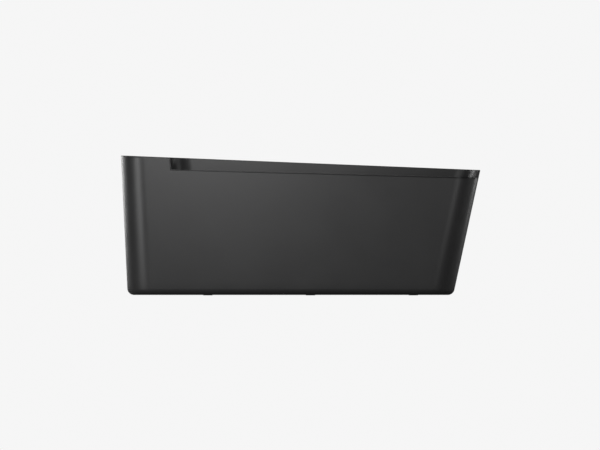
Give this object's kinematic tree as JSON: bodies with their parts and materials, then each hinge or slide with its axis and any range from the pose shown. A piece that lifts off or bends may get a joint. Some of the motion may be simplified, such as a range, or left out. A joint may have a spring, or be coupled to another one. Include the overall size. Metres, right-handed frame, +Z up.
{
  "type": "freestanding bathtub",
  "caption": "Double-skinned freestanding bathtub with a sloping rim, a tap ledge at one end, a lowered entry rim along one side, a pop-up waste and adjustable feet.",
  "frame": {"origin": "on the floor, below the middle of the rim's outer box", "axes": "+X from the tap ledge to the backrest, +Y to the wall side, away from the lowered entry rim, +Z up"},
  "size_m": [1.7, 0.7494, 0.662],
  "materials": {
    "tub_shell": "matte black coated acrylic, very fine satin grain",
    "black_trim": "matte black powder coat on brass",
    "plywood": "bare birch plywood under a resin wash",
    "frame_steel": "grey primed square tube",
    "zinc_steel": "bright zinc plate",
    "brass": "turned brass",
    "rubber": "moulded black rubber",
    "pipe_plastic": "moulded off-white polypropylene",
    "hose_plastic": "ribbed grey flexible hose"
  },
  "bodies": {
    "tub": {"outer_skirt": "tub_shell", "inner_basin": "tub_shell", "tap_deck_board": "plywood", "base_board": "plywood", "rail_entry_side": "frame_steel", "rail_wall_side": "frame_steel", "crossbar_1": "frame_steel", "crossbar_2": "frame_steel", "crossbar_3": "frame_steel", "frame_screws": "zinc_steel", "outriggers": "frame_steel", "skirt_pads": "plywood", "foot_inserts": "brass", "foot_lock_nuts": "zinc_steel", "waste_flange": "black_trim", "waste_upper_seal": "rubber", "waste_lower_seal": "rubber", "waste_body": "pipe_plastic", "outlet_pipe": "pipe_plastic", "outlet_washer": "rubber", "outlet_nut": "pipe_plastic", "plug_cartridge": "pipe_plastic", "plug_spring": "zinc_steel", "overflow_cover": "black_trim", "overflow_screw": "black_trim", "overflow_seal": "rubber", "overflow_elbow": "pipe_plastic", "overflow_hose": "hose_plastic", "hose_clip_upper": "zinc_steel", "hose_clip_lower": "zinc_steel"},
    "waste_plug": {"plug_cap": "black_trim", "plug_seal": "rubber", "plug_stem": "brass"},
    "foot_1": {"foot_1_stud": "zinc_steel", "foot_1_pad": "rubber"},
    "foot_2": {"foot_2_stud": "zinc_steel", "foot_2_pad": "rubber"},
    "foot_3": {"foot_3_stud": "zinc_steel", "foot_3_pad": "rubber"},
    "foot_4": {"foot_4_stud": "zinc_steel", "foot_4_pad": "rubber"},
    "foot_5": {"foot_5_stud": "zinc_steel", "foot_5_pad": "rubber"},
    "foot_6": {"foot_6_stud": "zinc_steel", "foot_6_pad": "rubber"}
  },
  "joints": [
    {"name": "waste_plug_lift", "type": "slide", "parent": "tub", "child": "waste_plug", "axis": [0, 0, 1], "range_m": [0, 0.009], "deforming": ["plug_spring"]},
    {"name": "foot_1_adjust", "type": "slide", "parent": "tub", "child": "foot_1", "axis": [0, 0, 1], "range_m": [-0.012, 0.012]},
    {"name": "foot_2_adjust", "type": "slide", "parent": "tub", "child": "foot_2", "axis": [0, 0, 1], "range_m": [-0.012, 0.012]},
    {"name": "foot_3_adjust", "type": "slide", "parent": "tub", "child": "foot_3", "axis": [0, 0, 1], "range_m": [-0.012, 0.012]},
    {"name": "foot_4_adjust", "type": "slide", "parent": "tub", "child": "foot_4", "axis": [0, 0, 1], "range_m": [-0.012, 0.012]},
    {"name": "foot_5_adjust", "type": "slide", "parent": "tub", "child": "foot_5", "axis": [0, 0, 1], "range_m": [-0.012, 0.012]},
    {"name": "foot_6_adjust", "type": "slide", "parent": "tub", "child": "foot_6", "axis": [0, 0, 1], "range_m": [-0.012, 0.012]}
  ]
}
